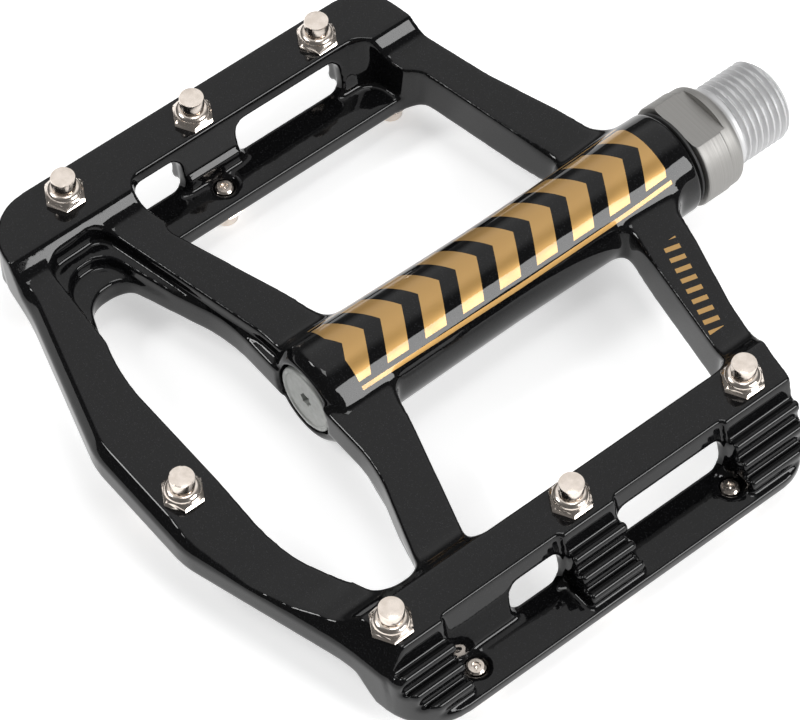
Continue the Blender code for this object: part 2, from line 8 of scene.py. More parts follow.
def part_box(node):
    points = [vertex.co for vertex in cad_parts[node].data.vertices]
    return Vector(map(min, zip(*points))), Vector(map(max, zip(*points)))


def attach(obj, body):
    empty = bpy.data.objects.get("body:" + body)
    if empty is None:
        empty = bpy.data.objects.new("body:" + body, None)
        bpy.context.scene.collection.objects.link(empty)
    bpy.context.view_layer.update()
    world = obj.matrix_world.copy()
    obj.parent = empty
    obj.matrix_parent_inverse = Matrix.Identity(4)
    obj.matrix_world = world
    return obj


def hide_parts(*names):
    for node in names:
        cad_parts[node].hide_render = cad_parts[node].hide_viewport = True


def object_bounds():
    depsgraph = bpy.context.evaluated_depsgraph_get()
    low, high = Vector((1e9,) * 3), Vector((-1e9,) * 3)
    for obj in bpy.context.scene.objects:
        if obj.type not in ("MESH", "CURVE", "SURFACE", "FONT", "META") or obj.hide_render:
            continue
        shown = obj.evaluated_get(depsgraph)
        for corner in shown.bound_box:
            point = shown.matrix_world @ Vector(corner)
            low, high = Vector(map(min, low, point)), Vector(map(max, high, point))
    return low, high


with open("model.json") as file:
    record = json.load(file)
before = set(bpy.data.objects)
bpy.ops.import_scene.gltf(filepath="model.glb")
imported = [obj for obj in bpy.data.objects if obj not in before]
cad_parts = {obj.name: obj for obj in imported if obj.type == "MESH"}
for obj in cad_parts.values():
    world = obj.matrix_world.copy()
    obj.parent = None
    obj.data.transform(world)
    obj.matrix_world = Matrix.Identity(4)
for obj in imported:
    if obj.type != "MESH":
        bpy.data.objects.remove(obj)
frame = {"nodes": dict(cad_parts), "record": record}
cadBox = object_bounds()
mm = 0.001
scene = bpy.context.scene

# everything is drawn in millimetres and handed over in metres
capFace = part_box("end_cap")[0].x / mm
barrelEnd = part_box("platform")[1].x / mm
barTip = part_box("platform")[0].x / mm
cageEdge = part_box("platform")[1].y / mm
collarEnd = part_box("lip_seal")[1].x / mm
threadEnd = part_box("spindle")[1].x / mm
threadStart = threadEnd - 12.0
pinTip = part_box("pin_top_outer_1")[1].z / mm
print("frame loaded, overall", [round((b - a) / mm, 1) for a, b in zip(*cadBox)])


# small helpers
def keep(name, bm):  # a bmesh becomes a linked object
    mesh = bpy.data.meshes.new(name)
    bm.to_mesh(mesh)
    bm.free()
    made = bpy.data.objects.new(name, mesh)
    scene.collection.objects.link(made)
    return made


def slab(corners, low, high, axis="Z", segments=8):  # corners are (u, v, rounding radius)
    bm = bmesh.new()
    base = [bm.verts.new((c[0], c[1], low)) for c in corners]
    face = bm.faces.new(base)
    top = bmesh.ops.extrude_face_region(bm, geom=[face])["geom"]
    bmesh.ops.translate(bm, verts=[v for v in top if isinstance(v, bmesh.types.BMVert)],
                        vec=(0, 0, high - low))
    count = len(corners)
    for i, corner in enumerate(corners):
        if len(corner) < 3 or corner[2] <= 0:
            continue
        here = Vector(corner[:2])
        before = Vector(corners[i - 1][:2]) - here
        after = Vector(corners[(i + 1) % count][:2]) - here
        reach = corner[2] / math.tan(before.angle(after) / 2)
        reach = min(reach, 0.48 * before.length, 0.48 * after.length)
        post = [e for e in bm.edges
                if all((Vector(v.co[:2]) - here).length < 1e-4 for v in e.verts)]
        bmesh.ops.bevel(bm, geom=post, offset=reach, offset_type="OFFSET",
                        affect="EDGES", segments=segments, profile=0.5, material=-1)
    if axis == "X":
        turn = Matrix(((0, 0, 1), (1, 0, 0), (0, 1, 0)))
        bmesh.ops.transform(bm, verts=bm.verts, matrix=turn.to_4x4())
    if axis == "Y":
        bmesh.ops.rotate(bm, verts=bm.verts, matrix=Matrix.Rotation(math.pi / 2, 3, "X"))
    bmesh.ops.recalc_face_normals(bm, faces=bm.faces)
    return bm


def lathe(points, segments=96):  # (x, radius) points spun round the axle
    bm = bmesh.new()
    ring = [bm.verts.new((x, r, 0)) for x, r in points]
    edges = [bm.edges.new(pair) for pair in zip(ring, ring[1:])]
    if points[0][1] > 0:
        edges.append(bm.edges.new((ring[-1], ring[0])))
    bmesh.ops.spin(bm, geom=ring + edges, cent=(0, 0, 0), axis=(1, 0, 0), angle=2 * math.pi,
                   steps=segments, use_merge=True)
    bmesh.ops.remove_doubles(bm, verts=bm.verts, dist=1e-5)
    bmesh.ops.recalc_face_normals(bm, faces=bm.faces)
    return bm


def together(*parts):  # several bmeshes in one
    whole = bmesh.new()
    for part in parts:
        carrier = bpy.data.meshes.new("carrier")
        part.to_mesh(carrier)
        part.free()
        whole.from_mesh(carrier)
        bpy.data.meshes.remove(carrier)
    return whole


def turnedOver(part):  # a copy after half a turn about the axle
    other = part.copy()
    bmesh.ops.rotate(other, verts=other.verts, matrix=Matrix.Rotation(math.pi, 3, "X"))
    return other


def bothFaces(part):
    return together(part, turnedOver(part))


def upright(part):  # from along the axle to standing on a face
    bmesh.ops.rotate(part, verts=part.verts, matrix=Matrix.Rotation(-math.pi / 2, 3, "Y"))
    return part


def combine(target, tool, operation):  # exact boolean, applied at once
    cutter = keep("cutter", tool)
    change = target.modifiers.new("combine", "BOOLEAN")
    change.object = cutter
    change.operation = operation
    change.solver = "EXACT"
    bakeModifiers(target)
    bpy.data.objects.remove(cutter, do_unlink=True)


def bakeModifiers(target):
    bpy.context.view_layer.update()
    depsgraph = bpy.context.evaluated_depsgraph_get()
    finished = bpy.data.meshes.new_from_object(target.evaluated_get(depsgraph))
    target.modifiers.clear()
    target.data = finished


def easeEdges(piece, width, limit):  # a small bevel where faces meet at more than the limit
    edge = piece.modifiers.new("edge", "BEVEL")
    edge.width = width
    edge.segments = 2
    edge.limit_method = "ANGLE"
    edge.angle_limit = math.radians(limit)
    bakeModifiers(piece)


def dress(piece, material, sharp=40):  # smooth shading up to a sharp angle, and the material
    piece.data.shade_smooth()
    piece.data.set_sharp_from_angle(angle=math.radians(sharp))
    piece.data.materials.clear()
    piece.data.materials.append(material)


def handOver(piece, body, slotName, *nodes):  # millimetres to metres, and onto its body
    piece.data.transform(Matrix.Scale(mm, 4))
    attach(piece, body)
    if nodes:
        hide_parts(*nodes)


# node materials
def shader(name, **inputs):
    made = bpy.data.materials.new(name)
    made.use_nodes = True
    bsdf = made.node_tree.nodes["Principled BSDF"]
    for key, value in inputs.items():
        bsdf.inputs[key.replace("_", " ")].default_value = value
    return made, made.node_tree, bsdf


def node(tree, kind, **settings):
    made = tree.nodes.new("ShaderNode" + kind)
    for key, value in settings.items():
        if hasattr(made, key):
            setattr(made, key, value)
        else:
            made.inputs[key.replace("_", " ")].default_value = value
    return made


def calc(tree, operation, first, second=None):  # one math node; inputs are sockets or numbers
    made = node(tree, "Math", operation=operation)
    for index, value in enumerate((first, second)):
        if value is None:
            continue
        if isinstance(value, (int, float)):
            made.inputs[index].default_value = value
        else:
            tree.links.new(value, made.inputs[index])
    return made.outputs[0]


def place(tree):  # object coordinates in metres
    return node(tree, "TexCoord").outputs["Object"]


def noise(tree, vector, scale, detail=2.0, roughness=0.5):
    made = node(tree, "TexNoise", Scale=scale, Detail=detail, Roughness=roughness)
    tree.links.new(vector, made.inputs["Vector"])
    return made.outputs["Fac"]


def ramp(tree, factor, low, high, lowValue, highValue):  # smooth mapping of one value to another
    made = node(tree, "MapRange", From_Min=low, From_Max=high, To_Min=lowValue, To_Max=highValue)
    made.interpolation_type = "SMOOTHSTEP"
    tree.links.new(factor, made.inputs["Value"])
    return made.outputs["Result"]


def mixColour(tree, factor, first, second):
    made = node(tree, "Mix", data_type="RGBA")
    if not isinstance(factor, (int, float)):
        tree.links.new(factor, made.inputs[0])
    for index, value in ((6, first), (7, second)):
        if isinstance(value, tuple):
            made.inputs[index].default_value = value
        else:
            tree.links.new(value, made.inputs[index])
    return made.outputs[2]


def bump(tree, bsdf, height, strength, distance, target="Normal"):
    made = node(tree, "Bump", Strength=strength, Distance=distance)
    tree.links.new(height, made.inputs["Height"])
    tree.links.new(made.outputs["Normal"], bsdf.inputs[target])


paintLook = {"black": (0.0035, 0.0035, 0.0038, 1), "flake": (0.02, 0.0205, 0.022, 1),
             "gold": (0.44, 0.262, 0.09, 1), "flakeScale": 8200, "peelScale": 420}


def blackPaint():  # clear coat over black with fine flakes, and the gold graphics under the coat
    made, tree, bsdf = shader("blackPaint", Coat_Weight=1.0, Coat_Roughness=0.045, Coat_IOR=1.36,
                              Specular_IOR_Level=0.0)
    spot = place(tree)
    flakes = node(tree, "TexVoronoi", Scale=paintLook["flakeScale"])
    tree.links.new(spot, flakes.inputs["Vector"])
    glint = ramp(tree, flakes.outputs["Color"], 0.72, 1.0, 0.0, 1.0)
    colour = mixColour(tree, glint, paintLook["black"], paintLook["flake"])
    mask = graphicMask(tree, spot)
    colour = mixColour(tree, mask, colour, paintLook["gold"])
    tree.links.new(colour, bsdf.inputs["Base Color"])
    tree.links.new(calc(tree, "MULTIPLY", mask, 0.5), bsdf.inputs["Metallic"])
    cloud = noise(tree, spot, 160, 3)
    tree.links.new(ramp(tree, cloud, 0.3, 0.7, 0.34, 0.46), bsdf.inputs["Roughness"])
    peel = noise(tree, spot, paintLook["peelScale"], 2)
    bump(tree, bsdf, peel, 0.18, 0.00006, "Coat Normal")
    return made


graphic = {"start": 6.0, "end": 68.0, "pitch": 7.4, "slant": 0.55, "bar": 0.56, "halfWidth": 5.9,
           "pinstripe": 6.7, "stripeWidth": 0.45, "tickLine": 65.4, "tickLean": 0.316, "tickHalf": 1.4,
           "tickInner": -14.0, "tickOuter": -31.6, "tickBeat": 0.5, "tickSkew": 0.12, "tickShare": 0.42}


def graphicMask(tree, spot):  # generic slanted bars along the barrel, and a row of ticks on one arm
    g = graphic
    split = node(tree, "SeparateXYZ")
    tree.links.new(spot, split.inputs[0])
    along = calc(tree, "SUBTRACT", calc(tree, "DIVIDE", split.outputs["X"], mm), capFace)
    across = calc(tree, "DIVIDE", split.outputs["Y"], mm)
    up = calc(tree, "DIVIDE", split.outputs["Z"], mm)
    away = calc(tree, "ABSOLUTE", across)
    lean = calc(tree, "ADD", along, calc(tree, "MULTIPLY", away, g["slant"]))
    phase = calc(tree, "FRACT", calc(tree, "DIVIDE", lean, g["pitch"]))
    bars = calc(tree, "LESS_THAN", phase, g["bar"])
    bars = within(tree, bars, ("LESS_THAN", away, g["halfWidth"]))
    stripe = calc(tree, "ABSOLUTE", calc(tree, "SUBTRACT", away, g["pinstripe"]))
    stripe = calc(tree, "LESS_THAN", stripe, g["stripeWidth"] / 2)
    shape = within(tree, calc(tree, "MAXIMUM", bars, stripe), ("GREATER_THAN", along, g["start"]),
                   ("LESS_THAN", along, g["end"]), ("GREATER_THAN", up, 0.5))
    # the ticks stand on a line that leans towards the crank
    line = calc(tree, "MULTIPLY", across, g["tickLean"])
    offset = calc(tree, "SUBTRACT", calc(tree, "SUBTRACT", along, g["tickLine"]), line)
    beat = calc(tree, "ADD", calc(tree, "MULTIPLY", across, g["tickBeat"]),
                calc(tree, "MULTIPLY", offset, g["tickSkew"]))
    ticks = calc(tree, "LESS_THAN", calc(tree, "FRACT", beat), g["tickShare"])
    ticks = within(tree, ticks, ("LESS_THAN", calc(tree, "ABSOLUTE", offset), g["tickHalf"]),
                   ("LESS_THAN", across, g["tickInner"]), ("GREATER_THAN", across, g["tickOuter"]),
                   ("GREATER_THAN", up, 3.0))
    return calc(tree, "MAXIMUM", shape, ticks)


def within(tree, shape, *limits):  # keeps a mask only where every comparison holds
    for comparison, value, bound in limits:
        shape = calc(tree, "MULTIPLY", shape, calc(tree, comparison, value, bound))
    return shape


def steel(name, colour, roughness, lines, strength, threadHighlightColour=None):  # turned, with rings round the axle
    made, tree, bsdf = shader(name, Metallic=1.0, Base_Color=colour, Roughness=roughness)
    if threadHighlightColour:  # painted highlight: the thread's base colour is brighter than the collar's, standing in for the light its crests catch
        split = node(tree, "SeparateXYZ")
        tree.links.new(place(tree), split.inputs[0])
        threadHighlightMask = ramp(tree, split.outputs["X"], (threadStart - 0.2) * mm, (threadStart + 1.2) * mm, 0, 1)
        tree.links.new(mixColour(tree, threadHighlightMask, colour, threadHighlightColour), bsdf.inputs["Base Color"])
    stretch = node(tree, "Mapping", Scale=(lines, 30, 30))
    tree.links.new(place(tree), stretch.inputs["Vector"])
    rings = noise(tree, stretch.outputs[0], 1.0, 3)
    tree.links.new(ramp(tree, rings, 0.3, 0.7, roughness - 0.06, roughness + 0.08),
                   bsdf.inputs["Roughness"])
    bump(tree, bsdf, rings, strength, 0.00003)
    return made


def mottled(name, colour, second, roughness, spread, scale, metallic, depth):  # cast, plated or moulded
    made, tree, bsdf = shader(name, Metallic=metallic, Roughness=roughness)
    spot = place(tree)
    cloud = noise(tree, spot, scale, 4)
    tree.links.new(mixColour(tree, ramp(tree, cloud, 0.3, 0.7, 0, 1), colour, second),
                   bsdf.inputs["Base Color"])
    tree.links.new(ramp(tree, cloud, 0.3, 0.7, roughness - spread, roughness + spread),
                   bsdf.inputs["Roughness"])
    bump(tree, bsdf, noise(tree, spot, scale * 6, 3), depth, 0.00004)
    return made


paint = blackPaint()
# painted highlight: the last colour brightens the thread's base colour for the light on its crests
satinSteel = steel("satinSteel", (0.315, 0.308, 0.296, 1), 0.56, 9000, 0.22, (0.60, 0.60, 0.605, 1))
raceSteel = steel("bearingSteel", (0.72, 0.72, 0.73, 1), 0.18, 14000, 0.1)
nickel = mottled("nickelPlate", (0.80, 0.72, 0.65, 1), (0.70, 0.62, 0.55, 1), 0.2, 0.05, 700, 1.0, 0.08)
capMetal = mottled("greyCap", (0.38, 0.388, 0.372, 1), (0.34, 0.348, 0.332, 1), 0.4, 0.05, 900, 0.35, 0.15)
rubber = mottled("blackRubber", (0.012, 0.012, 0.012, 1), (0.02, 0.02, 0.02, 1), 0.6, 0.08, 800, 0, 0.3)
brass = mottled("brassCage", (0.72, 0.52, 0.22, 1), (0.60, 0.43, 0.18, 1), 0.3, 0.06, 1200, 1.0, 0.1)
nylon = mottled("darkNylon", (0.03, 0.03, 0.032, 1), (0.045, 0.045, 0.048, 1), 0.5, 0.06, 900, 0, 0.2)
print("materials ready")


# platform
platformShape = {
    "cageTop": 6.5, "armTop": 4.0, "outerPlate": 2.3, "innerPlate": 3.6, "cageRamp": (-33.2, -5.3),
    "barRamp": (40.5, 4.4), "rampSlope": 40, "webHead": 45.5, "webFoot": 48.0, "pocketFoot": 44.3,
    "pocketSlope": 0.266, "openingEdge": 38.2, "cageStart": -20.8, "cageEnd": 55.8, "corner": 9.5,
    "windows": ((1.6, 11.6), (22.4, 43.4)), "windowCorner": 2.2, "treads": 3, "treadDrop": 2.5,
    "treadStep": 2.15, "grooveFloor": 1.5, "lowerFloor": -0.8, "brimFloor": 2.0, "brimSlope": 0.8,
    "capBore": 6.1, "shaftBore": 5.0, "sealBore": 7.6, "pinBore": 1.6, "countersink": 2.3,
    "voxel": 0.25, "triangles": 190000}


def sectionCorners():  # the Z-shaped section, (y, z, radius), seen along the axle
    s = platformShape
    ledge = s["cageTop"] - s["outerPlate"]
    top = [(-cageEdge, -ledge, 0), (-s["webFoot"], -ledge, 0), (-s["webHead"], s["cageTop"], 0),
           *rampArc(*s["cageRamp"]), *rampArc(*s["barRamp"])[::-1], (cageEdge, s["cageTop"], 0)]
    return top + [(-y, -z, r) for y, z, r in top]


def rampArc(foot, width):  # from a plate's edge down a slope, and hollow into the arms
    s = platformShape
    rise = s["cageTop"] - s["armTop"]
    steep = math.radians(s["rampSlope"])
    radius = (abs(width) - rise / math.tan(steep)) / math.tan(steep / 2)
    points = [(foot + width, s["cageTop"], 0)]
    for i in range(6, -1, -1):
        angle = steep * i / 6
        points.append((foot + math.copysign(radius * math.sin(angle), width),
                       s["armTop"] + radius * (1 - math.cos(angle)), 0))
    return points


def barEdge():  # half of the outer bar's edge
    return [(barTip, 11.0, 12.0), (barTip + 8.2, 38.5, 40.0)]


def planCorners():
    s = platformShape
    end = s["cageEnd"] + capFace
    return mirroredCorners(barEdge() + [
        (s["cageStart"] + capFace, cageEdge, s["corner"]), (end, cageEdge, s["corner"]),
        (end + 2.0, 41.9, 8.0), (barrelEnd - 12.6, 29.2, 20.0), (barrelEnd - 6.6, 10.3, 2.0),
        (barrelEnd - 3.0, 7.3, 0)])


def mirroredCorners(half):  # closes half an outline across the axle
    return half + [(c[0], -c[1], c[2]) for c in reversed(half)]


def outerOpening():
    return mirroredCorners([(capFace - 20.3, 20.0, 30), (capFace - 13.9, 36.5, 6),
                            (capFace - 7.2, 36.5, 3.5), (capFace - 0.6, 18.1, 25)])


def sideOpening():
    edge = platformShape["openingEdge"]
    return [(capFace + 1.3, edge, 2), (capFace + 11.3, 7.3, 3.5),
            (capFace + 57.8, 7.3, 2), (capFace + 52.1, edge, 4)]


def ribCorners():  # lipped treads between the inner plate and the outer ledge
    s = platformShape
    corners = [(-45.0, -5.4), (-45.0, s["cageTop"]), (-46.3, s["cageTop"]), (-46.9, 3.9)]
    crest, edge = 3.4, 48.2
    for tread in range(s["treads"]):
        corners += [(-edge + 1.1, crest - 0.8), (-edge + 0.2, crest - 0.7), (-edge, crest),
                    (-edge - 1.0, crest), (-edge - 1.35, crest - 0.9)]
        crest -= s["treadDrop"]
        edge += s["treadStep"]
    return corners + [(-53.5, -5.4)]


def buildPlatform():
    s = platformShape
    ledge = s["cageTop"] - s["outerPlate"]
    innerLedge = s["cageTop"] - s["innerPlate"]
    start, end = s["cageStart"] + capFace, s["cageEnd"] + capFace

    body = keep("platformPaint", slab(sectionCorners(), barTip - 1, barrelEnd, "X"))
    ribs = [slab(ribCorners(), low, high, "X") for low, high in
            ((start - 1, capFace - 10.6), (capFace + 11.8, capFace + 22.2), (capFace + 43.6, end + 1.2))]
    combine(body, bothFaces(together(*ribs)), "UNION")
    combine(body, slab(planCorners(), -20, 20), "INTERSECT")

    pocket = slab([(capFace + 0.9, s["pocketFoot"], 2.5), (capFace + 3.4, 32.5, 0),
                   (capFace + 51.0, 32.5, 0), (capFace + 48.8, s["pocketFoot"], 4)], -innerLedge, 20)
    for v in pocket.verts:  # the web leans outward
        v.co.y += s["pocketSlope"] * (v.co.z + innerLedge)
    combine(body, bothFaces(pocket), "DIFFERENCE")
    curve = s["windowCorner"]
    windows = [slab([(capFace + low, -ledge, curve), (capFace + high, -ledge, curve),
                     (capFace + high, innerLedge, curve), (capFace + low, innerLedge, curve)],
                    42.5, 50.0, "Y", 4) for low, high in s["windows"]]
    combine(body, bothFaces(together(*windows)), "DIFFERENCE")
    foot = slab([(capFace + 11.9, 44.2), (capFace + 22.1, 44.2),
                 (capFace + 22.1, 45.8), (capFace + 11.9, 45.8)], -innerLedge - 0.5, 0)
    combine(body, bothFaces(foot), "UNION")
    openings = together(slab(outerOpening(), -20, 20), bothFaces(slab(sideOpening(), -20, 20)))
    combine(body, openings, "DIFFERENCE")

    groove = slab([(capFace - 19.8, 6, 0), (capFace - 16.8, 43.2, 3), (capFace - 6.0, 43.6, 3),
                   (capFace + 0.9, 12, 8), (capFace + 1.4, 5, 0), (capFace - 3, -2, 0)],
                  s["grooveFloor"], 20)
    lower = slab([(capFace - 19.5, 6, 0), (capFace - 16.0, 40.6, 5), (capFace - 7.6, 41.0, 4),
                  (capFace - 0.9, 16, 8), (capFace - 0.6, 7, 0), (capFace - 3, -2, 0)],
                 s["lowerFloor"], 20)
    combine(body, bothFaces(groove), "DIFFERENCE")
    combine(body, bothFaces(lower), "DIFFERENCE")
    scoop = slab([(-6.0, 5.5, 0), (-6.0, 4.0, 0), (-13.0, 3.3, 0), (-22.0, 2.5, 0), (-29.0, 3.1, 0),
                  (-33.0, 4.0, 0), (-33.0, 5.5, 0)], barTip - 2, capFace - 16, "X")
    combine(body, bothFaces(scoop), "DIFFERENCE")
    fade = barEdge() + [(barTip + 8.5, 41.0, 0), (barTip + 4.5, 46.0, 0)]
    corner = [(start + 0.2, -cageEdge - 0.05, s["corner"]), (start + 8, -cageEdge - 0.05, 0),
              (start + 8, -cageEdge - 9, 0)]
    brim = slab([(barTip - 20, 46.0)] + fade[::-1] + [(x, -y, r) for x, y, r in barEdge()] + corner
                + [(barTip - 20, -cageEdge - 9)], s["brimFloor"], 20)
    for v in brim.verts:  # a broad chamfer along the bar's outer edge
        v.co.x += s["brimSlope"] * (v.co.z - s["brimFloor"])
    combine(body, bothFaces(brim), "DIFFERENCE")

    waist = (capFace + barrelEnd) / 2
    barrel = lathe([(capFace, 0), (capFace, 7.0), (capFace + 1.6, 8.6), (capFace + 8, 8.6), (waist, 8.2),
                    (barrelEnd - 14, 8.4), (barrelEnd - 4, 8.9), (barrelEnd - 0.4, 8.9),
                    (barrelEnd, 8.5), (barrelEnd, 0)])
    combine(body, barrel, "UNION")
    bore = lathe([(capFace - 2, 0), (capFace - 2, s["capBore"]), (capFace + 16, s["capBore"]),
                  (capFace + 16, s["shaftBore"]), (barrelEnd - 7.7, s["shaftBore"]),
                  (barrelEnd - 7.7, s["sealBore"]), (barrelEnd + 2, s["sealBore"]), (barrelEnd + 2, 0)], 88)
    combine(body, bore, "DIFFERENCE")
    combine(body, pinHoles(), "DIFFERENCE")
    print("platform drawn,", len(body.data.polygons), "faces")

    slant = Matrix.Rotation(math.pi / 4, 4, "Z")  # keeps the voxels' steps away from the long edges
    body.data.transform(slant)
    remesh = body.modifiers.new("remesh", "REMESH")
    remesh.mode = "VOXEL"
    remesh.voxel_size = s["voxel"]
    remesh.adaptivity = 0.0
    bakeModifiers(body)
    body.data.transform(slant.inverted())
    soften(body)
    body.data.shade_smooth()
    fine = bpy.data.objects.new("fine", body.data.copy())
    scene.collection.objects.link(fine)
    body.data.calc_loop_triangles()
    thin = body.modifiers.new("thin", "DECIMATE")
    thin.ratio = min(1.0, s["triangles"] / len(body.data.loop_triangles))
    bakeModifiers(body)
    body.data.shade_smooth()
    carry = body.modifiers.new("carry", "DATA_TRANSFER")  # the fine mesh's normals on the lighter one
    carry.object = fine
    carry.use_loop_data = True
    carry.data_types_loops = {"CUSTOM_NORMAL"}
    carry.loop_mapping = "POLYINTERP_NEAREST"
    bakeModifiers(body)
    bpy.data.objects.remove(fine, do_unlink=True)
    body.data.materials.clear()
    body.data.materials.append(paint)
    body.data.calc_loop_triangles()
    print("platform finished,", len(body.data.loop_triangles), "triangles")
    handOver(body, "platform_body", "black_paint", "platform")


def pinPlace(name):  # x and y, the face's sign, the height of its seat and of its stud's end
    low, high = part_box(name)
    side = 1 if "top" in name else -1
    seat = platformShape["armTop" if name.endswith("bar") else "cageTop"]
    tip = (low.z if side > 0 else -high.z) / mm
    return (low.x + high.x) / 2 / mm, (low.y + high.y) / 2 / mm, side, seat, tip


def pinHoles():  # plain holes, countersunk where a stud's free end shows
    bore, wide = platformShape["pinBore"], platformShape["countersink"]
    holes = []
    for name in frame["nodes"]:
        if not name.startswith("pin_"):
            continue
        x, y, side, seat, tip = pinPlace(name)
        profile = [(seat + 1, 0), (seat + 1, bore), (tip - 0.3, bore), (tip - 0.3, 0)]
        if not name.endswith(("bar", "outer_2", "inner_3")):
            profile[2:] = [(tip + 0.45, bore), (tip - 0.1, wide), (tip - 1.5, wide), (tip - 1.5, 0)]
        hole = upright(lathe(profile, 32))
        if side < 0:
            bmesh.ops.rotate(hole, verts=hole.verts, matrix=Matrix.Rotation(math.pi, 3, "X"))
        bmesh.ops.translate(hole, verts=hole.verts, vec=(x, y, 0))
        holes.append(hole)
    return together(*holes)


def soften(body):  # rounds every edge a little, and some places a good deal more
    bm = bmesh.new()
    bm.from_mesh(body.data)
    step = 0.32 / platformShape["voxel"]
    places = ((70, 9), (17, 3), (15.5, 5), (14, 12), (12.5, 14))  # reach from the axle and rounds
    for reach, rounds in places:
        chosen = [v for v in bm.verts if reach > 60 or barrelRoot(v.co, reach)]
        for i in range(max(1, round(rounds * step * step))):
            bmesh.ops.smooth_vert(bm, verts=chosen, factor=0.5,
                                  use_axis_x=True, use_axis_y=True, use_axis_z=True)
    bm.to_mesh(body.data)
    bm.free()


def barrelRoot(p, reach):
    inside = capFace + 1.5 < p.x < barrelEnd - 1 and abs(p.z) < 7.5 and abs(p.y) > 5.5
    return inside and 7.9 < math.hypot(p.y, p.z) < reach


buildPlatform()


# traction pins
pinShape = {"hexAcross": 6.0, "hexTop": 1.5, "domeTop": 2.35, "neck": 1.6, "head": 2.0, "stud": 1.5,
            "lift": 0.02, "edge": 0.07}


def pinProfile(stud, height):  # (height, radius) from the stud's dimpled end to the head
    s = pinShape
    profile = [(-stud, 0), (-stud + 0.35, 0.35), (-stud + 0.35, 0.62), (-stud, 0.7),
               (-stud, s["stud"] - 0.3), (-stud + 0.3, s["stud"]), (0.2, s["stud"]), (0.2, 2.7),
               (s["hexTop"] - 0.25, 2.85)]
    for i in range(7):  # domed collar above the hexagon
        angle = i / 6 * math.pi / 2
        profile.append((s["hexTop"] - 0.1 + (s["domeTop"] - s["hexTop"]) * math.sin(angle),
                        s["neck"] + 0.15 + 1.1 * math.cos(angle)))
    return profile + [(s["domeTop"] - 0.1, s["neck"]), (s["domeTop"] + 0.3, s["neck"]),
                      (s["domeTop"] + 0.42, s["head"] - 0.12), (s["domeTop"] + 0.54, s["head"]),
                      (height - 0.22, s["head"]), (height - 0.07, s["head"] - 0.07),
                      (height, s["head"] - 0.24), (height, 0)]


def buildPins():
    s = pinShape
    radius = s["hexAcross"] / math.sqrt(3)
    for name in sorted(frame["nodes"]):
        if not name.startswith("pin_"):
            continue
        x, y, side, seat, tip = pinPlace(name)
        stem = upright(lathe(pinProfile(seat - tip, pinTip - platformShape["cageTop"]), 48))
        nut = bmesh.new()
        bmesh.ops.create_cone(nut, cap_ends=True, segments=6, radius1=radius, radius2=radius,
                              depth=s["hexTop"], matrix=Matrix.Translation((0, 0, s["hexTop"] / 2)))
        bmesh.ops.rotate(nut, verts=nut.verts, matrix=Matrix.Rotation(math.radians(30), 3, "Z"))
        trim = lathe([(-1, 0), (-1, radius + 1), (s["hexTop"] - 0.75, radius + 0.1),
                      (s["hexTop"], radius - 0.62), (s["hexTop"] + 1, radius - 0.62),
                      (s["hexTop"] + 1, 0)], 64)
        piece = keep(name.replace("pin_", "stud_"), nut)
        combine(piece, upright(trim), "INTERSECT")
        combine(piece, stem, "UNION")
        easeEdges(piece, s["edge"], 28)
        dress(piece, nickel)
        piece.data.transform(Matrix.Translation((0, 0, seat + s["lift"])))
        if side < 0:
            piece.data.transform(Matrix.Rotation(math.pi, 4, "X"))
        piece.data.transform(Matrix.Translation((x, y, 0)))
        handOver(piece, "platform_body", "nickel", name)
    print("pins finished")


buildPins()


# spindle
spindleShape = {"end": 2.9, "smallSeat": 4.1, "shaft": 4.4, "largeSeat": 4.9, "shoulder": 6.0,
                "collar": 9.1, "sleeve": 8.93, "collarLength": 5.0, "rounding": 1.3, "neck": 7.2,
                "flat": 7.5, "edge": 0.1, "thread": 7.14, "root": 6.39, "pitch": 1.27, "rings": 110,
                "socket": 4.0, "socketDepth": 9.0}


def spindleProfile(start):  # (x, radius) from the end under the cap to the neck of the thread
    s = spindleShape
    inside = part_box("spindle")[0].x / mm
    ringStart, ringEnd = (v.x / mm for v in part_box("crank_bearing_inner_ring"))
    points = [(inside, 0), (inside, s["end"] - 0.4), (inside + 0.4, s["end"]), (capFace + 17, s["end"]),
              (capFace + 17, s["smallSeat"]), (capFace + 22, s["shaft"]), (ringStart - 1, s["shaft"]),
              (ringStart - 0.5, s["largeSeat"]), (ringEnd + 0.3, s["largeSeat"]),
              (ringEnd + 0.3, s["shoulder"]), (start, s["shoulder"]), (start, s["collar"] - 0.5),
              (start + 0.15, s["collar"] - 0.15), (start + 0.5, s["collar"]),
              (start + s["collarLength"], s["collar"]), (start + s["collarLength"] + 0.15, s["sleeve"]),
              (threadStart - 1.5, s["sleeve"])]
    for i in range(1, 7):  # rounded shoulder
        angle = i / 6 * math.pi / 2
        points.append((threadStart - s["rounding"] * (1 - math.sin(angle)),
                       s["sleeve"] - 1.1 * (1 - math.cos(angle))))
    return points + [(threadStart + 0.1, s["neck"] + 0.4), (threadStart + 0.35, s["neck"] + 0.1),
                     (threadStart + 0.9, s["neck"]), (threadStart + 0.9, 0)]


def threadRadius(x, turn):  # the ridge follows a left-hand helix and dies out at both ends
    s = spindleShape
    phase = (x - threadStart) / s["pitch"] + turn
    wave = 1 - abs(2 * (phase - math.floor(phase)) - 1)
    depth = 1 - min(1.0, max(0.0, wave * 1.35 - 0.15))
    fade = max(0.0, min(1.0, (x - threadStart - 1.4) / 0.8))
    radius = s["thread"] - (s["thread"] - s["root"]) * depth * fade
    return min(radius, s["root"] - 0.6 + (threadEnd - x) * 1.1)


